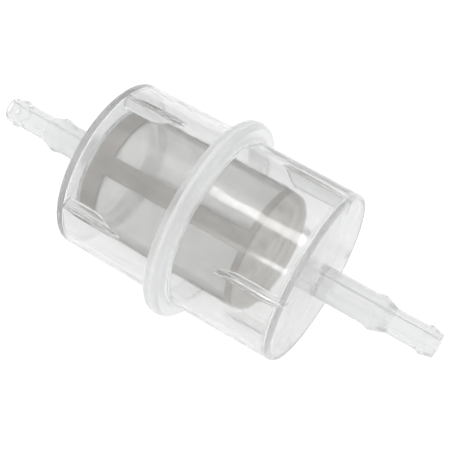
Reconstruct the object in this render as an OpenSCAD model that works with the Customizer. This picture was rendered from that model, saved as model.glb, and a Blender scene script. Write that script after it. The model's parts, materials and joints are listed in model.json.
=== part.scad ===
// In-line fuel filter: a clear housing of two welded cups, each with its own stepped
// hose stem, round a nylon element that carries the gauze. Each stem is moulded in one
// with its cup, and is drawn as a solid of its own that stands on the end wall.
//
// The flow axis is X, with the inlet stem at -X and the outlet stem at +X, and +Z is up.
// The origin is on the axis, in the plane where the two cups are welded together.
// Turned pieces are drawn as profiles of [radius, distance along the axis].

/* [Hose stems] */
// Diameter of the stem next to the cup, for an 8 mm hose
base_d = 8; // [7:0.1:9]
// Length of the stem next to the cup
base_len = 13.2; // [8:0.1:16]
// Diameter of the stop ridge between the two hose sizes
ridge_d = 9; // [9:0.1:10]
// Diameter of the thin outer stem, for a 6 mm hose
thin_d = 6.3; // [5.5:0.1:6.5]
// Length of the thin outer stem, from the foot of the cone to the tip barb
thin_len = 7.4; // [5:0.1:12]
// Diameter of the barb at the tip
barb_d = 7.3; // [6.7:0.1:8]
// Diameter of the bore through each stem
bore_d = 3; // [2:0.1:4]

/* [Housing cups] */
// Outer diameter of the cups at the weld flange
cup_d = 44; // [42:0.5:48]
// Depth of each cup, from the weld plane to the outside of its end wall
cup_len = 30; // [29.5:0.5:36]
// Thickness of the side wall
wall = 1.1; // [0.8:0.1:1.6]
// Thickness of the end wall
end_wall = 1.5; // [1:0.1:2]
// Amount by which the cup's radius shrinks towards its end wall, for release from the mould
draft = 0.25; // [0:0.05:0.5]

/* [Weld flange] */
// Outer diameter of the flange
flange_d = 52; // [50:0.5:56]
// Thickness of each cup's half of the flange
flange_half = 2.2; // [2:0.1:3]
// Rounding of the flange's outer edges
flange_round = 1.2; // [0.6:0.1:1.4]
// Rounding at the foot of the flange
flange_foot = 0.9; // [0.4:0.1:1.2]
// Width of the weld bead in the seam
bead_w = 0.8; // [0.4:0.1:1]
// Depth of the weld bead in the seam
bead_depth = 0.8; // [0.4:0.1:1]

/* [Fins in the cups] */
// Number of fins in each cup
fin_count = 4; // [3:1:6]
// Thickness of a fin
fin_t = 1.2; // [0.8:0.1:1.6]
// Distance from the axis to a fin's inner edge
fin_inner_r = 17.5; // [16.5:0.1:18.5]
// Distance from the weld plane to the start of a fin
fin_start = 11.3; // [8:0.1:14]
// Length over which an inlet fin grows to its full depth
inlet_fin_rise = 10.5; // [4:0.5:12]
// Length over which an outlet fin grows to its full depth
outlet_fin_rise = 5.5; // [4:0.5:12]
// Turn of the inlet cup's fins about the axis
inlet_fin_turn = 69; // [0:1:89]
// Turn of the outlet cup's fins about the axis
outlet_fin_turn = 54; // [0:1:89]

/* [Filter element] */
// Outer diameter of the element
cage_d = 31; // [30:0.5:32]
// Thickness of the element's rings and bars
cage_t = 1.5; // [1.3:0.1:2]
// Number of bars
bar_count = 4; // [3:1:6]
// Width of a bar
bar_w = 5; // [3:0.5:7]
// Turn of the bars about the axis
bar_turn = 30; // [0:1:89]
// Height of the seat that the element stands on, inside the inlet cup's end wall
seat_h = 1; // [0.5:0.1:1.5]
// Width of the open ring at the inlet end
ring_w = 4.4; // [3:0.1:6]
// Distance from the weld plane to the near side of the closed end's band
band_start = 13.9; // [10:0.1:15]
// Width of the closed end's band
band_w = 1.8; // [1.5:0.1:4]
// Height of the domed end cap above the band
cap_rise = 3.3; // [2:0.1:4]
// Amount by which the cap's radius shrinks over its dome
cap_drop = 4.5; // [3:0.1:6]
// Wall of the end cap
cap_t = 1.2; // [0.8:0.1:1.5]
// Thickness of the gauze
gauze_t = 0.3; // [0.2:0.05:0.4]
// Length of gauze moulded into each end of the cage
gauze_grip = 1; // [0.5:0.1:2]

/* [Hidden] */
$fn = 96;

// Stem: distances from the outside of the end wall
ridge_rise = 1.7;
ridge_flat = 0.3;
cone_len = 3.8;
barb_rise = 1.2;
barb_flat = 0.2;
tip_len = 2.7;
tip_round = 0.4;
tip_taper = 0.4;
tip_d = thin_d - tip_taper;
ridge_at = base_len + ridge_rise;
thin_at = ridge_at + ridge_flat + cone_len;
barb_at = thin_at + thin_len + barb_rise;
stem_len = barb_at + barb_flat + tip_len + tip_round;
bore_lead = 0.4;

// Cup
end_corner = 1;
inside_corner = 1.5;
cup_r = cup_d / 2;
end_r = cup_r - draft;
inside_end = cup_len - end_wall;
bead_crown = 0.05;
fin_root = wall / 3;
spigot_len = 2.5;

// Element
cage_r = cage_d / 2;
cage_inner_r = cage_r - cage_t;
cage_start = seat_h - inside_end;
seat_margin = 0.5;
band_end = band_start + band_w;
gauze_depth = 0.35;
gauze_r = cage_r - gauze_depth;
gauze_from = cage_start + ring_w - gauze_grip;
gauze_to = band_start + gauze_grip;

ARC_STEPS = 6;
FIN_STEPS = 10;

// Points of part of an oval in a profile, with its ends
function oval(centre, across, along, from, to) =
    [for (i = [0:ARC_STEPS]) let (a = from + (to - from) * i / ARC_STEPS)
        [centre[0] + across * cos(a), centre[1] + along * sin(a)]];

// The same, for a circle
function arc(centre, r, from, to) = oval(centre, r, r, from, to);

// A curve that leaves 0 and reaches 1 without a corner
function ease(u) = u * u * (3 - 2 * u);

// Solid turned about the X axis from a profile of [radius, distance]
module turned(profile) {
    rotate([0, 90, 0]) rotate_extrude() polygon(profile);
}

// Tube about the X axis
module sleeve(outer_r, inner_r, from, to) {
    turned([[inner_r, from], [outer_r, from], [outer_r, to], [inner_r, to]]);
}

// Hose stem at +X, standing on the outside of the end wall
module stem() {
    translate([cup_len, 0, 0]) turned([
        [bore_d / 2, 0],
        [base_d / 2, 0],
        [base_d / 2, base_len],
        [ridge_d / 2, ridge_at],
        [ridge_d / 2, ridge_at + ridge_flat],
        [thin_d / 2, thin_at],
        [thin_d / 2, thin_at + thin_len],
        [barb_d / 2, barb_at],
        [barb_d / 2, barb_at + barb_flat],
        [tip_d / 2, stem_len - tip_round],
        [tip_d / 2 - tip_round, stem_len],
        [bore_d / 2, stem_len]
    ]);
}

// Outside of the flange, from the seam to the side wall
function flange_profile() = concat(
    [[flange_d / 2 - bead_depth, 0],
     [flange_d / 2 - bead_depth, bead_w / 2],
     [flange_d / 2, bead_w / 2]],
    arc([flange_d / 2 - flange_round, flange_half - flange_round], flange_round, 0, 90),
    arc([cup_r + flange_foot, flange_half + flange_foot], flange_foot, 270, 180)
);

// Whole section of a cup, with the hole for the fuel on the axis
function cup_profile() = concat(
    [[cup_r - wall, 0]],
    flange_profile(),
    arc([end_r - end_corner, cup_len - end_corner], end_corner, 0, 90),
    [[bore_d / 2, cup_len],
     [bore_d / 2, inside_end + bore_lead],
     [bore_d / 2 + bore_lead, inside_end]],
    arc([end_r - wall - inside_corner, inside_end - inside_corner], inside_corner, 90, 0)
);

// One fin, standing in the XZ plane on the inside of the wall
module fin(rise) {
    wall_r = end_r - wall;
    edge = [for (i = [0:FIN_STEPS]) let (u = i / FIN_STEPS)
        [fin_start + rise * u, wall_r + (fin_inner_r - wall_r) * ease(u)]];
    outline = concat([[fin_start, wall_r + fin_root]], edge,
        [[inside_end + fin_root, fin_inner_r], [inside_end + fin_root, wall_r + fin_root]]);
    translate([0, fin_t / 2, 0]) rotate([90, 0, 0]) linear_extrude(fin_t) polygon(outline);
}

// A cup that opens towards -X, with its end wall at +X
module cup(fin_rise, fin_turn) {
    turned(cup_profile());
    for (i = [0:fin_count - 1]) rotate([fin_turn + i * 360 / fin_count, 0, 0]) fin(fin_rise);
}

// Seat on the inlet cup's end wall, with a spigot that the element is pushed over
module seat() {
    spigot_inner_r = cage_inner_r - wall;
    foot = -inside_end - fin_root;
    turned([
        [spigot_inner_r, foot],
        [cage_r - seat_margin, foot],
        [cage_r - seat_margin, cage_start],
        [cage_inner_r, cage_start],
        [cage_inner_r, cage_start + spigot_len],
        [spigot_inner_r, cage_start + spigot_len]
    ]);
}

module inlet_cup() {
    color([0.86, 0.87, 0.86, 0.35]) {
        mirror([1, 0, 0]) cup(inlet_fin_rise, inlet_fin_turn);
        seat();
    }
}

module inlet_stem() {
    color([0.86, 0.87, 0.86, 0.35]) mirror([1, 0, 0]) stem();
}

module outlet_cup() {
    color([0.86, 0.87, 0.86, 0.35]) cup(outlet_fin_rise, outlet_fin_turn);
}

module outlet_stem() {
    color([0.86, 0.87, 0.86, 0.35]) stem();
}

// Bead of melted plastic that fills the groove between the two flanges
module weld_bead() {
    seam_r = flange_d / 2;
    color([0.80, 0.81, 0.80, 0.5]) turned([
        [seam_r - bead_depth, -bead_w / 2],
        [seam_r, -bead_w / 2],
        [seam_r + bead_crown, 0],
        [seam_r, bead_w / 2],
        [seam_r - bead_depth, bead_w / 2]
    ]);
}

// Everything between the two rings, apart from the bars
module cage_windows() {
    difference() {
        sleeve(cage_r + cage_t, cage_inner_r - cage_t, cage_start + ring_w, band_start);
        for (i = [0:bar_count - 1])
            rotate([bar_turn + i * 360 / bar_count, 0, 0])
                translate([cage_start, -bar_w / 2, 0])
                    cube([band_end - cage_start, bar_w, cage_d]);
    }
}

// Tube with windows cut in it, and a groove in the middle of its wall for the gauze
module element_cage() {
    color([0.62, 0.60, 0.57]) difference() {
        sleeve(cage_r, cage_inner_r, cage_start, band_end);
        cage_windows();
        sleeve(gauze_r, gauze_r - gauze_t, gauze_from, gauze_to);
    }
}

// Domed cap that closes the cage's outlet end, with a skirt inside the band
module element_end_cap() {
    flat_r = cage_r - cap_drop;
    skirt_r = cage_inner_r - cap_t;
    color([0.68, 0.66, 0.63]) turned(concat(
        [[skirt_r, band_start], [cage_inner_r, band_start], [cage_inner_r, band_end]],
        oval([flat_r, band_end], cap_drop, cap_rise, 0, 90),
        [[0, band_end + cap_rise], [0, band_end + cap_rise - cap_t]],
        oval([flat_r, band_end], skirt_r - flat_r, cap_rise - cap_t, 90, 0)
    ));
}

module gauze_screen() {
    color([0.74, 0.74, 0.72]) sleeve(gauze_r, gauze_r - gauze_t, gauze_from, gauze_to);
}

inlet_cup();
inlet_stem();
outlet_cup();
outlet_stem();
weld_bead();
element_cage();
element_end_cap();
gauze_screen();
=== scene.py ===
"""An in-line fuel filter: two clear cups welded at a flange, a stepped hose stem on each, and a nylon gauze
element inside. The flow axis is X and the origin is on it, in the weld plane. Shapes are worked out in
millimetres and built in metres."""

import json
import math

import bmesh
import bpy
from mathutils import Matrix, Vector


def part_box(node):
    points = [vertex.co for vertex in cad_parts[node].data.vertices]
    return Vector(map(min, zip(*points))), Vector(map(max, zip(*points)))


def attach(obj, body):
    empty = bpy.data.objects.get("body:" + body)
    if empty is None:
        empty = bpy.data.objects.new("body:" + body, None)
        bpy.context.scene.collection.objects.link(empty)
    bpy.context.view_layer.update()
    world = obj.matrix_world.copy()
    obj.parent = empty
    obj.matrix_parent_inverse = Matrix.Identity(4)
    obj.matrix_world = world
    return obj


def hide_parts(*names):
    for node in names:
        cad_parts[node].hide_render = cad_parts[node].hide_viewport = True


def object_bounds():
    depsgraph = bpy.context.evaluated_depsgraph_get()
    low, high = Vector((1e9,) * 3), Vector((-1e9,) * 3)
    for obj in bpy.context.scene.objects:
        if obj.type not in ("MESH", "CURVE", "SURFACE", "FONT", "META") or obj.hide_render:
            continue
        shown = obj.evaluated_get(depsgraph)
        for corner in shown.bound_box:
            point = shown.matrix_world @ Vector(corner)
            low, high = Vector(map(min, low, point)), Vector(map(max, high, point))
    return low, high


MM = 0.001

# Camera: where it looks from, how far off, and how far to its right and up the point that it looks at lies
CAMERA_AZIMUTH = 33.42
CAMERA_ELEVATION = 57.93
CAMERA_DISTANCE = 267.9
CAMERA_LENS = 89.66
AIM_RIGHT = 3.246
AIM_UP = -1.298

# Meshes. HOLD is how far past a rounding its holding points lie. Each SHARE is the most of a side, or of a
# fin's height, that is taken up
SEGMENTS = 192
CAGE_SEGMENTS = 360
FILLET_STEPS = 5
FILLET_SHARE = 0.48
HOLD = 0.04
HOLD_SHARE = 0.02
SHARP_ANGLE = 35.0
MERGE_DISTANCE = 1e-4

# Hose stems. The ridge and the barb's foot are measured back from the tip
LAND_LENGTH = 13.2
RIDGE_BACK = 15.7
RIDGE_FLAT = 0.3
CONE_LENGTH = 3.8
BARB_BACK = 4.5
BARB_RISE = 1.2
BARB_FLAT = 0.2
BARB_R = 3.65
TIP_R = 2.88

# Cups
CUP_R = 22.0
WALL = 1.1
END_WALL = 1.5
DRAFT = 0.25
END_CORNER = 1.0
INSIDE_CORNER = 0.9
WELD_OVERLAP = 0.01

# Weld flange. Its rim falls away a little from the seam, then turns at the shoulder
FLANGE_HALF = 2.2
FLANGE_LEAN = 0.05
SHOULDER_X = 1.5
SHOULDER_FALL = 0.35
SHOULDER_R = 25.0
FOOT_GAP = 0.02
SEAM_FALL = 0.05
BEAD_WIDTH = 0.8
BEAD_DEPTH = 0.8
BEAD_CROWN = 0.04
BEAD_FALL = 0.1

# Fins
FIN_COUNT = 4
FIN_THICK = 1.2
FIN_INNER_R = 17.5
FIN_START = 11.3
INLET_FIN_RISE = 10.5
OUTLET_FIN_RISE = 5.5
INLET_FIN_TURN = 69.0
OUTLET_FIN_TURN = 54.0
FIN_EMBED = 0.4
FIN_FOOT = 0.5
FIN_FOOT_SHARE = 0.6
FIN_EDGE = 0.3
FIN_EDGE_SHARE = 0.3
FIN_LEAST = 0.03
FIN_STEPS = 24

# Element
CAGE_R = 15.5
CAGE_WALL = 1.5
CAGE_EDGE = 0.22
RING_WIDTH = 4.4
BAND_START = 13.9
BAND_END = 15.7
BAR_COUNT = 4
BAR_WIDTH = 5.0
BAR_TURN = 30.0
CAP_RISE = 3.3
CAP_DROP = 4.5
CAP_WALL = 1.2
CAP_LIP = 0.15
CAP_GAP = 0.02
SKIRT_STRAIGHT = 1.0
DOME_STEPS = 16
SEAT_R = 15.0
SEAT_HEIGHT = 1.0
SPIGOT_R = 14.0
SPIGOT_LENGTH = 2.5
GAUZE_PITCH = 0.34
GAUZE_GRIP = 0.9
GAUZE_SINK = 0.05
GAUZE_THICK = 0.2

# Zones of the clear plastic, in metres: from the weld plane, and for the bore from the flow axis
FROST_ZONE = (0.0023, 0.0031)
END_ZONE_MIDDLE = 0.0288
END_ZONE_HALF = 0.0014
STEM_ZONE = (0.0302, 0.0352)
CONE_ZONE = (0.0455, 0.0495)
BORE_ZONE = (0.0016, 0.0024)

# Stage, in metres. The card, a dark sheet of painted shadow that only light through clear plastic meets, lies
# behind the part
FLOOR_SPAN = (-4.0, 4.0)
SHADOW_CARD_X = (-0.020, 0.022)
SHADOW_CARD_Y = (0.058, 0.095)
SHADOW_CARD_LIFT = 0.001
LAMP_DISTANCE = 0.6
BOUNCES = 48


# ---------------------------------------------------------------------------------------------- outlines


def fillet(corners):
    """Outline through corners given as (x, r, radius), with each corner rounded to its radius, as far as its
    sides leave room. A point just past each end of a rounding keeps the straight parts' shading straight."""
    points = []
    for i, (x, r, radius) in enumerate(corners):
        here = Vector((x, r))
        before = Vector(corners[i - 1][:2]) - here
        after = Vector(corners[(i + 1) % len(corners)][:2]) - here
        if radius <= 0:
            points.append(tuple(here))
            continue
        half = before.angle(after) / 2
        before_length, after_length = before.length, after.length
        reach = min(radius / math.tan(half), FILLET_SHARE * before_length, FILLET_SHARE * after_length)
        radius = reach * math.tan(half)
        before.normalize()
        after.normalize()
        centre = here + (before + after).normalized() * (radius / math.sin(half))
        start = here + before * reach - centre
        sweep = start.angle_signed(here + after * reach - centre)
        hold = min(HOLD, HOLD_SHARE * min(before_length, after_length))
        points.append(tuple(here + before * (reach + hold)))
        for step in range(FILLET_STEPS + 1):
            turn = -sweep * step / FILLET_STEPS
            c, s = math.cos(turn), math.sin(turn)
            points.append((centre.x + start.x * c - start.y * s, centre.y + start.x * s + start.y * c))
        points.append(tuple(here + after * (reach + hold)))
    return points


# ---------------------------------------------------------------------------------------------- meshes


def closed_mesh(bm, name):
    """An object from a closed bmesh in millimetres, with its faces pointing outwards."""
    bmesh.ops.remove_doubles(bm, verts=bm.verts, dist=MERGE_DISTANCE)
    bmesh.ops.recalc_face_normals(bm, faces=bm.faces)
    mesh = bpy.data.meshes.new(name)
    bm.to_mesh(mesh)
    bm.free()
    obj = bpy.data.objects.new(name, mesh)
    bpy.context.scene.collection.objects.link(obj)
    return obj


def add_piece(obj, material, slot, *nodes):
    """Makes a millimetre mesh a piece of the object, in metres, which stands for these CAD nodes."""
    obj.data.transform(Matrix.Scale(MM, 4))
    obj.data.shade_smooth()
    obj.data.set_sharp_from_angle(angle=math.radians(SHARP_ANGLE))
    obj.data.materials.append(material)
    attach(obj, "root")
    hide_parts(*nodes)


def bake_modifiers(obj):
    """Turns the object's modifiers into its mesh."""
    graph = bpy.context.evaluated_depsgraph_get()
    mesh = bpy.data.meshes.new_from_object(obj.evaluated_get(graph))
    mesh.name = obj.name
    obj.modifiers.clear()
    obj.data = mesh


def ring_point(x, r, angle):
    """A point at distance r from the X axis. The angle runs from +Z towards -Y."""
    return Vector((x, -r * math.sin(angle), r * math.cos(angle)))


def turned(profile, name, side=1):
    """Solid turned about X from a closed outline of (x, r). side -1 mirrors it to the inlet end."""
    bm = bmesh.new()
    rings = []
    for x, r in profile:
        count = SEGMENTS if r > 0 else 1
        rings.append([bm.verts.new(ring_point(side * x, r, math.tau * k / SEGMENTS)) for k in range(count)])
    for a, b in zip(rings, rings[1:] + rings[:1]):
        for k in range(SEGMENTS):
            n = (k + 1) % SEGMENTS
            if len(a) == 1 and len(b) == 1:
                break
            if len(a) == 1:
                bm.faces.new((a[0], b[k], b[n]))
            elif len(b) == 1:
                bm.faces.new((a[k], b[0], a[n]))
            else:
                bm.faces.new((a[k], b[k], b[n], a[n]))
    return closed_mesh(bm, name)


def fin_section(inner_r, wall_r):
    """Section of a fin as (distance across it, r), from its root in the wall round its edge and back."""
    height = wall_r - inner_r
    foot = min(FIN_FOOT, FIN_FOOT_SHARE * height)
    edge = min(FIN_EDGE, FIN_EDGE_SHARE * height)
    half = FIN_THICK / 2
    points = [(half + foot, wall_r + FIN_EMBED)]
    for step in range(FILLET_STEPS + 1):
        turn = step / FILLET_STEPS * math.pi / 2
        points.append((half + foot * (1 - math.sin(turn)), wall_r - foot * (1 - math.cos(turn))))
    for step in range(FILLET_STEPS + 1):
        turn = step / FILLET_STEPS * math.pi / 2
        points.append((half - edge * (1 - math.cos(turn)), inner_r + edge * (1 - math.sin(turn))))
    return points + [(-t, r) for t, r in reversed(points)]


def fin_stations(rise, wall_r, end_x):
    """Places along a fin as (x, inner r): an S-shaped edge that leaves the wall, then a straight one."""
    stations = []
    for step in range(FIN_STEPS + 1):
        u = step / FIN_STEPS
        inner_r = wall_r + (FIN_INNER_R - wall_r) * u * u * (3 - 2 * u)
        if inner_r < wall_r - FIN_LEAST:
            stations.append((FIN_START + rise * u, inner_r))
    return stations + [(end_x, FIN_INNER_R)]


def add_fin(bm, side, rise, angle, wall_r, end_x):
    """A fin on the inside of a cup's wall, for a cup that ends at end_x."""
    turn = Matrix.Rotation(math.radians(angle), 4, "X")
    loops = []
    for x, inner_r in fin_stations(rise, wall_r, end_x):
        section = fin_section(inner_r, wall_r)
        loops.append([bm.verts.new(turn @ Vector((side * x, t, r))) for t, r in section])
    for a, b in zip(loops, loops[1:]):
        for k in range(len(a)):
            n = (k + 1) % len(a)
            bm.faces.new((a[k], b[k], b[n], a[n]))
    bm.faces.new(loops[0])
    bm.faces.new(list(reversed(loops[-1])))


def join_solid(obj, other):
    """Unites another closed solid with obj, and removes it."""
    cut = obj.modifiers.new("join", "BOOLEAN")
    cut.operation = "UNION"
    cut.solver = "EXACT"
    cut.object = other
    bake_modifiers(obj)
    bpy.data.objects.remove(other)


def tube_with_windows(name, r_outer, r_inner, stations, is_open):
    """Tube about X in cells between the stations along it. is_open(x, angle) leaves a cell out."""
    segments = CAGE_SEGMENTS
    bm = bmesh.new()
    rows = len(stations) - 1
    mids = [(a + b) / 2 for a, b in zip(stations, stations[1:])]
    solid = [[not is_open(x, math.tau * (k + 0.5) / segments) for k in range(segments)] for x in mids]
    verts = {}

    def vert(i, k, outer):
        key = (i, k % segments, outer)
        if key not in verts:
            r = r_outer if outer else r_inner
            verts[key] = bm.verts.new(ring_point(stations[i], r, math.tau * key[1] / segments))
        return verts[key]

    for i in range(rows):
        for k in range(segments):
            if not solid[i][k]:
                continue
            for outer in (True, False):
                bm.faces.new([vert(*c, outer) for c in ((i, k), (i + 1, k), (i + 1, k + 1), (i, k + 1))])
            sides = (
                (i == 0 or not solid[i - 1][k], (i, k), (i, k + 1)),
                (i == rows - 1 or not solid[i + 1][k], (i + 1, k), (i + 1, k + 1)),
                (not solid[i][k - 1], (i, k), (i + 1, k)),
                (not solid[i][(k + 1) % segments], (i, k + 1), (i + 1, k + 1)),
            )
            for bare, a, b in sides:
                if bare:
                    bm.faces.new((vert(*a, True), vert(*b, True), vert(*b, False), vert(*a, False)))
    return closed_mesh(bm, name)


# ---------------------------------------------------------------------------------------------- materials


def new_material(name):
    """A material with an empty node tree, and the function that adds nodes to it."""
    material = bpy.data.materials.new(name)
    material.use_nodes = True
    tree = material.node_tree
    tree.nodes.clear()
    return material, adder(tree)


def adder(tree):
    """A function that adds a node. Its inputs go by name, with _ for a space, or by number as i0, i1 and
    so on. They are given numbers, colours or other nodes' sockets."""

    def add(kind, settings=None, **inputs):
        node = tree.nodes.new("ShaderNode" + kind)
        for key, value in (settings or {}).items():
            setattr(node, key, value)
        for key, value in inputs.items():
            name = key.replace("_", " ")
            socket = node.inputs[int(key[1:])] if key[0] == "i" and key[1:].isdigit() else node.inputs[name]
            if isinstance(value, bpy.types.NodeSocket):
                tree.links.new(value, socket)
            else:
                socket.default_value = value
        return node

    return add


def ramp(add, source, low, high, to_low, to_high):
    """Maps a value from one range to another, and clamps it."""
    node = add("MapRange", Value=source)
    for key, value in (("From Min", low), ("From Max", high), ("To Min", to_low), ("To Max", to_high)):
        node.inputs[key].default_value = value
    return node.outputs[0]


def noise(add, vector, scale, detail=2.0, rough=0.5):
    """Noise over an object's own coordinates. scale is in waves per metre."""
    return add("TexNoise", Vector=vector, Scale=scale, Detail=detail, Roughness=rough).outputs["Fac"]


def maths(add, operation, *values):
    """The result of a Math node."""
    inputs = {f"i{index}": value for index, value in enumerate(values)}
    return add("Math", {"operation": operation}, **inputs).outputs[0]


def blend_colour(add, factor, a, b):
    """A colour that goes from a to b as the factor goes from 0 to 1."""
    node = add("Mix", {"data_type": "RGBA"})
    tree = node.id_data
    tree.links.new(factor, node.inputs[0])
    node.inputs[6].default_value = a
    node.inputs[7].default_value = b
    return node.outputs[2]


def clear_plastic(name, tint, rough, waviness, milk):
    """Clear moulded plastic, a little milky. It is frosted at the flange, and more matt and milkier on the
    end walls and the stems, with no milk on the bore's wall. rough and milk are (least, most). Lamps and
    light from matt surfaces pass straight through it."""
    material, add = new_material(name)
    where = add("TexCoord").outputs["Object"]
    flow = add("Mapping", Vector=where, Scale=(0.35, 1.0, 1.0)).outputs[0]
    cloud = noise(add, flow, 160.0, 3.0)
    haze = noise(add, where, 900.0, 4.0, 0.6)

    # How far a point belongs to each zone, from 0 to 1
    across = maths(add, "ABSOLUTE", add("SeparateXYZ", Vector=where).outputs["X"])
    off_axis = add("Mapping", Vector=where, Scale=(0.0, 1.0, 1.0)).outputs[0]
    radius = add("VectorMath", {"operation": "LENGTH"}, Vector=off_axis).outputs["Value"]
    frost = ramp(add, across, *FROST_ZONE, 1.0, 0.0)
    end = maths(add, "COMPARE", across, END_ZONE_MIDDLE, END_ZONE_HALF)
    stem = ramp(add, across, *STEM_ZONE, 0.0, 1.0)
    off_bore = ramp(add, radius, *BORE_ZONE, 0.0, 1.0)

    def with_zones(value, zones):
        """The value, with each zone's own amount added in that zone."""
        for zone, amount in zones:
            value = maths(add, "MULTIPLY_ADD", zone, amount, value)
        return value

    # Moulding waves everywhere, and turning marks round the flange
    ripple = add("Bump", Strength=waviness, Distance=0.0004, Height=cloud)
    lines = noise(add, add("Mapping", Vector=where, Scale=(6.0, 0.2, 0.2)).outputs[0], 500.0, 2.0)
    grooves = maths(add, "MULTIPLY", frost, lines)
    marks = add("Bump", Strength=0.35, Distance=0.00012, Height=grooves, Normal=ripple.outputs[0])
    fine = add("Bump", Strength=0.12, Distance=0.00005, Height=haze, Normal=marks.outputs[0]).outputs[0]

    roughness = with_zones(
        ramp(add, haze, 0.3, 0.75, *rough), ((stem, 0.1), (end, 0.12), (frost, 0.25)))
    glass = add(
        "BsdfPrincipled",
        Base_Color=blend_colour(add, frost, tint, (0.99, 0.99, 0.99, 1)),
        Roughness=roughness,
        IOR=1.49,
        Transmission_Weight=1.0,
        Normal=fine,
    )
    white = blend_colour(add, frost, (0.70, 0.705, 0.70, 1), (0.93, 0.935, 0.93, 1))
    lit = add("BsdfDiffuse", Color=white, Normal=fine)
    glow = add("BsdfTranslucent", Color=white, Normal=fine)
    milk_shader = add("MixShader", i0=0.5, i1=lit.outputs[0], i2=glow.outputs[0])
    stem_milk = ramp(add, across, *CONE_ZONE, 0.3, 0.22)
    milky = with_zones(
        ramp(add, cloud, 0.3, 0.7, *milk), ((stem, stem_milk), (end, 0.06), (frost, 0.17)))
    cover = maths(add, "MULTIPLY", milky, off_bore)
    body = add("MixShader", i0=cover, i1=glass.outputs[0], i2=milk_shader.outputs[0])

    clear_way = add("BsdfTransparent", Color=(0.97, 0.97, 0.97, 1))
    path = add("LightPath").outputs
    lamps = add("MixShader", i0=path["Is Shadow Ray"], i1=body.outputs[0], i2=clear_way.outputs[0])
    matt = add("MixShader", i0=path["Is Diffuse Ray"], i1=lamps.outputs[0], i2=clear_way.outputs[0])
    depth = add("VolumeAbsorption", Color=(0.5, 0.5, 0.5, 1), Density=28.0)
    add("OutputMaterial", Surface=matt.outputs[0], Volume=depth.outputs[0])
    return material


def nylon(name, light, dark):
    """Natural nylon: matt, a little translucent, with cloudy flow marks from moulding."""
    material, add = new_material(name)
    where = add("TexCoord").outputs["Object"]
    flow = add("Mapping", Vector=where, Scale=(0.5, 1.0, 1.0)).outputs[0]
    cloud = noise(add, flow, 240.0, 4.0, 0.55)
    grain = noise(add, where, 2600.0, 3.0)
    colour = blend_colour(add, ramp(add, cloud, 0.35, 0.68, 0.0, 1.0), light, dark)
    bump = add("Bump", Strength=0.25, Distance=0.00004, Height=grain)
    skin = add(
        "BsdfPrincipled",
        Base_Color=colour,
        Roughness=ramp(add, grain, 0.3, 0.7, 0.38, 0.55),
        IOR=1.53,
        Subsurface_Weight=0.05,
        Subsurface_Radius=(0.0014, 0.0012, 0.001),
        Subsurface_Scale=1.0,
        Normal=bump.outputs[0],
    )
    glow = add("BsdfTranslucent", Color=colour, Normal=bump.outputs[0])
    both = add("MixShader", i0=0.03, i1=skin.outputs[0], i2=glow.outputs[0])
    add("OutputMaterial", Surface=both.outputs[0])
    return material


def woven(name, thread, thread_dark, radius, opening):
    """Fine square-woven gauze round the X axis, with holes between its threads. The cloth is open where its
    height is below opening's first value, and solid above its second."""
    material, add = new_material(name)
    where = add("TexCoord").outputs["Object"]
    xyz = add("SeparateXYZ", Vector=where).outputs
    angle = maths(add, "ARCTAN2", xyz["Y"], xyz["Z"])
    threads = float(round(math.tau * radius / (GAUZE_PITCH * MM)))
    warp = maths(add, "SINE", maths(add, "MULTIPLY", xyz["X"], math.tau / (GAUZE_PITCH * MM)))
    weft = maths(add, "SINE", maths(add, "MULTIPLY", angle, threads))
    top = maths(add, "MAXIMUM", warp, weft)
    cloud = noise(add, where, 300.0, 3.0)
    colour = blend_colour(add, ramp(add, cloud, 0.3, 0.7, 0.0, 1.0), thread, thread_dark)
    solid = ramp(add, top, *opening, 0.05, 1.0)
    bump = add("Bump", Strength=0.5, Distance=0.00008, Height=top)
    cloth = add(
        "BsdfPrincipled",
        Base_Color=colour,
        Roughness=ramp(add, cloud, 0.3, 0.7, 0.5, 0.65),
        Sheen_Weight=0.1,
        Normal=bump.outputs[0],
    )
    glow = add("BsdfTranslucent", Color=colour, Normal=bump.outputs[0])
    both = add("MixShader", i0=0.45, i1=cloth.outputs[0], i2=glow.outputs[0])
    gap = add("BsdfTransparent")
    mesh = add("MixShader", i0=solid, i1=gap.outputs[0], i2=both.outputs[0])
    add("OutputMaterial", Surface=mesh.outputs[0])
    return material


def painted_shadow_card(name):
    """Painted shadow: a dark sheet that stands in for shaded floor behind the part and darkens the edges of
    clear walls. Only light through clear plastic meets it.
    """
    material, add = new_material(name)
    where = add("TexCoord").outputs["Object"]
    colour = blend_colour(add, noise(add, where, 40.0), (0.02, 0.02, 0.02, 1), (0.04, 0.04, 0.04, 1))
    painted_shadow_sheet = add("BsdfDiffuse", Color=colour)
    unseen = add("BsdfTransparent")
    path = add("LightPath").outputs
    seen = add("MixShader", i0=path["Is Transmission Ray"], i1=unseen.outputs[0], i2=painted_shadow_sheet.outputs[0])
    lamps = add("MixShader", i0=path["Is Shadow Ray"], i1=seen.outputs[0], i2=unseen.outputs[0])
    add("OutputMaterial", Surface=lamps.outputs[0])
    return material


def table_top(name):
    """A plain white table that gives off some light of its own."""
    material, add = new_material(name)
    where = add("TexCoord").outputs["Object"]
    cloud = noise(add, where, 6.0, 2.0)
    colour = blend_colour(add, cloud, (0.40, 0.40, 0.40, 1), (0.43, 0.43, 0.43, 1))
    matt = add("BsdfDiffuse", Color=colour)
    glow = add("Emission", Color=(1, 1, 1, 1), Strength=0.72)
    both = add("AddShader", i0=matt.outputs[0], i1=glow.outputs[0])
    add("OutputMaterial", Surface=both.outputs[0])
    return material


# ---------------------------------------------------------------------------------------------- frame

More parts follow.
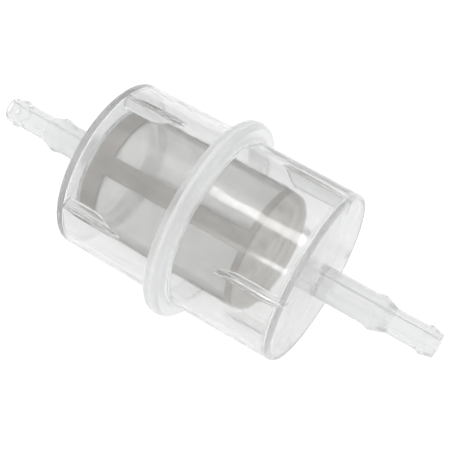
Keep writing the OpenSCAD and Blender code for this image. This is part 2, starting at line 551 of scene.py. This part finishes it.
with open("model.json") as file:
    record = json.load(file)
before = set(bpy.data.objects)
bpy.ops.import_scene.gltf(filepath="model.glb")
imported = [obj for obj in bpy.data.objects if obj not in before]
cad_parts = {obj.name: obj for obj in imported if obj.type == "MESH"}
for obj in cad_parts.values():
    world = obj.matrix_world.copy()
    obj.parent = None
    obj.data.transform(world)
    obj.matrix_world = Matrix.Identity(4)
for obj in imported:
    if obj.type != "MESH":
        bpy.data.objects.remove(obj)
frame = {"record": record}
cad_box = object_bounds()
radii = {mount["name"]: mount["dims"]["r_mm"] for mount in frame["record"]["mounts"]}
cup_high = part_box("outlet_cup")[1]
stem_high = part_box("outlet_stem")[1]

CUP_LENGTH = cup_high.x / MM
FLANGE_R = cup_high.z / MM
STEM_END = stem_high.x / MM
RIDGE_R = stem_high.z / MM
BASE_R = radii["outlet_stem_8mm"]
THIN_R = radii["outlet_stem_6mm"]
BORE_R = radii["outlet_bore"]
END_R = CUP_R - DRAFT
INSIDE_END = CUP_LENGTH - END_WALL
CAGE_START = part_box("element_cage")[0].x / MM
GAUZE_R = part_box("gauze_screen")[1].z / MM

# ---------------------------------------------------------------------------------------------- camera

azimuth, elevation = math.radians(CAMERA_AZIMUTH), math.radians(CAMERA_ELEVATION)
back = Vector((
    math.sin(azimuth) * math.cos(elevation),
    -math.cos(azimuth) * math.cos(elevation),
    math.sin(elevation),
))
aimed = (-back).to_track_quat("-Z", "Y")
right, up = aimed @ Vector((1, 0, 0)), aimed @ Vector((0, 1, 0))
aim = (right * AIM_RIGHT + up * AIM_UP) * MM
camera = bpy.data.objects.new("camera", bpy.data.cameras.new("camera"))
camera.data.lens = CAMERA_LENS
camera.data.sensor_width = 36.0
camera.data.clip_start = 0.01
camera.data.clip_end = 20.0
camera.location = aim + back * CAMERA_DISTANCE * MM
camera.rotation_mode = "QUATERNION"
camera.rotation_quaternion = aimed
bpy.context.scene.collection.objects.link(camera)
bpy.context.scene.camera = camera

# ---------------------------------------------------------------------------------------------- pieces

clear = clear_plastic(
    "clear_plastic", (0.93, 0.932, 0.928, 1), rough=(0.06, 0.13), waviness=0.3, milk=(0.045, 0.08))
melted = clear_plastic(
    "melted_plastic", (0.88, 0.883, 0.88, 1), rough=(0.12, 0.25), waviness=0.5, milk=(0.3, 0.4))
cage_nylon = nylon("cage_nylon", (0.345, 0.32, 0.292, 1), (0.245, 0.227, 0.206, 1))
# The cap's copy of the nylon is painted lighter than the cage's: painted light for its single-walled dome,
# lit from above
cap_nylon_painted_lighter = nylon("cap_nylon_painted_lighter", (0.50, 0.476, 0.444, 1), (0.33, 0.314, 0.292, 1))
gauze_cloth = woven(
    "gauze", (0.80, 0.80, 0.782, 1), (0.71, 0.71, 0.692, 1), GAUZE_R * MM, opening=(0.62, 0.92))


def half_outline(spigot):
    """Section of one moulded half as (x, r, rounding): the cup, its half of the flange and its hose stem, and
    if spigot is true the seat and the spigot that hold the element."""
    ridge = STEM_END - RIDGE_BACK
    barb_foot = STEM_END - BARB_BACK
    barb = barb_foot + BARB_RISE
    outside = [
        (-WELD_OVERLAP, CUP_R - WALL, 0),
        (-WELD_OVERLAP, FLANGE_R - BEAD_DEPTH, 0),
        (BEAD_WIDTH / 2, FLANGE_R - BEAD_DEPTH, 0.1),
        (BEAD_WIDTH / 2, FLANGE_R - SEAM_FALL, 0.15),
        (SHOULDER_X, FLANGE_R - SHOULDER_FALL, 0.8),
        (FLANGE_HALF - FLANGE_LEAN, SHOULDER_R, 0.45),
        (FLANGE_HALF, CUP_R + FOOT_GAP, 0.9),
        (CUP_LENGTH, END_R, END_CORNER),
        (CUP_LENGTH, BASE_R, 0.6),
        (CUP_LENGTH + LAND_LENGTH, BASE_R, 0.8),
        (ridge, RIDGE_R, 0.25),
        (ridge + RIDGE_FLAT, RIDGE_R, 0.25),
        (ridge + RIDGE_FLAT + CONE_LENGTH, THIN_R, 0.8),
        (barb_foot, THIN_R, 0.5),
        (barb, BARB_R, 0.15),
        (barb + BARB_FLAT, BARB_R, 0.15),
        (STEM_END, TIP_R, 0.4),
    ]
    inside = [
        (STEM_END, BORE_R, 0.25),
        (INSIDE_END, BORE_R, 0.4),
    ]
    if spigot:
        seat = INSIDE_END - SEAT_HEIGHT
        tip = seat - SPIGOT_LENGTH
        inside += [
            (INSIDE_END, SPIGOT_R - WALL, 0.4),
            (tip, SPIGOT_R - WALL, 0.2),
            (tip, SPIGOT_R, 0.3),
            (seat, SPIGOT_R, 0.1),
            (seat, SEAT_R, 0.25),
            (INSIDE_END, SEAT_R, 0.3),
        ]
    return outside + inside + [(INSIDE_END, END_R - WALL, INSIDE_CORNER)]


def housing_half(name, side, rise, angle, spigot, nodes):
    """One moulded half of the housing, with its fins."""
    obj = turned(fillet(half_outline(spigot)), name, side)
    wall_r = END_R - WALL
    fins = bmesh.new()
    for k in range(FIN_COUNT):
        add_fin(fins, side, rise, angle + k * 360 / FIN_COUNT, wall_r, INSIDE_END + FIN_EMBED)
    join_solid(obj, closed_mesh(fins, name + "_fins"))
    add_piece(obj, clear, "clear_plastic", *nodes)


housing_half(
    "inlet_half", -1, INLET_FIN_RISE, INLET_FIN_TURN, True, ("inlet_cup", "inlet_stem"))
housing_half(
    "outlet_half", 1, OUTLET_FIN_RISE, OUTLET_FIN_TURN, False, ("outlet_cup", "outlet_stem"))

bead_r = FLANGE_R - BEAD_DEPTH - WELD_OVERLAP
bead_half = BEAD_WIDTH / 2 + WELD_OVERLAP
bead = turned(
    fillet([
        (-bead_half, bead_r, 0),
        (-bead_half, FLANGE_R - BEAD_FALL, 0.15),
        (0, FLANGE_R + BEAD_CROWN, 0.4),
        (bead_half, FLANGE_R - BEAD_FALL, 0.15),
        (bead_half, bead_r, 0),
    ]),
    "weld_seam",
)
add_piece(bead, melted, "weld_plastic", "weld_bead")

# Cage: two rings and the bars between them
bar_half = math.asin(BAR_WIDTH / 2 / CAGE_R)


def in_window(x, angle):
    """True in the openings between the rings and the bars."""
    if not CAGE_START + RING_WIDTH < x < BAND_START:
        return False
    pitch = math.tau / BAR_COUNT
    off = (angle - math.radians(BAR_TURN) + pitch / 2) % pitch - pitch / 2
    return abs(off) > bar_half


cage_stations = [CAGE_START, CAGE_START + RING_WIDTH, BAND_START, BAND_END]
cage = tube_with_windows("cage", CAGE_R, CAGE_R - CAGE_WALL, cage_stations, in_window)
edges = cage.modifiers.new("edges", "BEVEL")
edges.width = CAGE_EDGE
edges.segments = 3
edges.limit_method = "ANGLE"
edges.angle_limit = math.radians(50)
bake_modifiers(cage)
add_piece(cage, cage_nylon, "nylon", "element_cage")


def dome(flat_r, across, rise):
    """Outline of a domed end as (x, r), from its rim on the band's end to its flat face."""
    steps = [math.pi / 2 * k / DOME_STEPS for k in range(DOME_STEPS + 1)]
    return [(BAND_END + CAP_GAP + rise * math.sin(t), flat_r + across * math.cos(t)) for t in steps]


flat_r = CAGE_R - CAP_DROP
bore_r = CAGE_R - CAGE_WALL
skirt = fillet([
    (BAND_START + SKIRT_STRAIGHT, bore_r - CAP_WALL, 0),
    (BAND_START, bore_r - CAP_WALL, 0.2),
    (BAND_START, bore_r - CAP_GAP, 0.2),
    (BAND_END + CAP_GAP, bore_r - CAP_GAP, 0),
])
outer = dome(flat_r, CAP_DROP - CAP_LIP, CAP_RISE - CAP_GAP)
inner = dome(flat_r, bore_r - CAP_WALL - flat_r, CAP_RISE - CAP_WALL)
cap = turned(skirt + outer + [(outer[-1][0], 0), (inner[-1][0], 0)] + inner[::-1], "end_cap")
add_piece(cap, cap_nylon_painted_lighter, "nylon", "element_end_cap")

gauze_from = CAGE_START + RING_WIDTH - GAUZE_GRIP
gauze_to = BAND_START + GAUZE_GRIP
gauze_top = GAUZE_R - GAUZE_SINK
gauze_under = gauze_top - GAUZE_THICK
gauze = turned(
    [
        (gauze_from, gauze_under),
        (gauze_from, gauze_top),
        (gauze_to, gauze_top),
        (gauze_to, gauze_under),
    ],
    "gauze",
)
add_piece(gauze, gauze_cloth, "gauze", "gauze_screen")

# ---------------------------------------------------------------------------------------------- stage


def sheet(name, x, y, z, material):
    """A flat rectangle of the stage, between two values of x and two of y."""
    mesh = bpy.data.meshes.new(name)
    mesh.from_pydata([(x[0], y[0], z), (x[1], y[0], z), (x[1], y[1], z), (x[0], y[1], z)], [], [(0, 1, 2, 3)])
    obj = bpy.data.objects.new(name, mesh)
    obj.data.materials.append(material)
    bpy.context.scene.collection.objects.link(obj)


table = cad_box[0].z
sheet("floor", FLOOR_SPAN, FLOOR_SPAN, table, table_top("table_top"))
# Painted shadow: a dark sheet behind the part, seen only through the clear plastic
sheet("painted_shadow_sheet", SHADOW_CARD_X, SHADOW_CARD_Y, table + SHADOW_CARD_LIFT, painted_shadow_card("painted_shadow_card"))

world = bpy.data.worlds.new("studio")
world.use_nodes = True
world.node_tree.nodes.clear()
add = adder(world.node_tree)
far_side = add("SeparateXYZ", Vector=add("TexCoord").outputs["Generated"]).outputs["Y"]
sky = add("Background", Color=(0.98, 0.99, 1.0, 1), Strength=ramp(add, far_side, 0.62, 1.0, 1.15, 0.15))
add("OutputWorld", Surface=sky.outputs[0])
bpy.context.scene.world = world


def softbox(name, direction, width, depth, power):
    """A rectangular lamp in this direction from the origin, and aimed at it, with its width along X."""
    lamp = bpy.data.lights.new(name, "AREA")
    lamp.shape = "RECTANGLE"
    lamp.size, lamp.size_y = width, depth
    lamp.energy = power
    obj = bpy.data.objects.new(name, lamp)
    towards = Vector(direction).normalized()
    along = Vector((1, 0, 0))
    side = (along - towards * along.dot(towards)).normalized()
    obj.matrix_world = Matrix((
        (*side, 0), (*towards.cross(side), 0), (*towards, 0), (0, 0, 0, 1))).transposed()
    obj.location = towards * LAMP_DISTANCE
    bpy.context.scene.collection.objects.link(obj)


softbox("key", (-0.124, 0.033, 0.584), width=0.10, depth=0.11, power=0.21)
softbox("low", (-0.100, -0.372, 0.460), width=0.035, depth=0.04, power=0.04)

scene = bpy.context.scene
scene.view_settings.view_transform = "Standard"
scene.cycles.max_bounces = BOUNCES
scene.cycles.transmission_bounces = BOUNCES
scene.cycles.glossy_bounces = BOUNCES
scene.cycles.transparent_max_bounces = BOUNCES
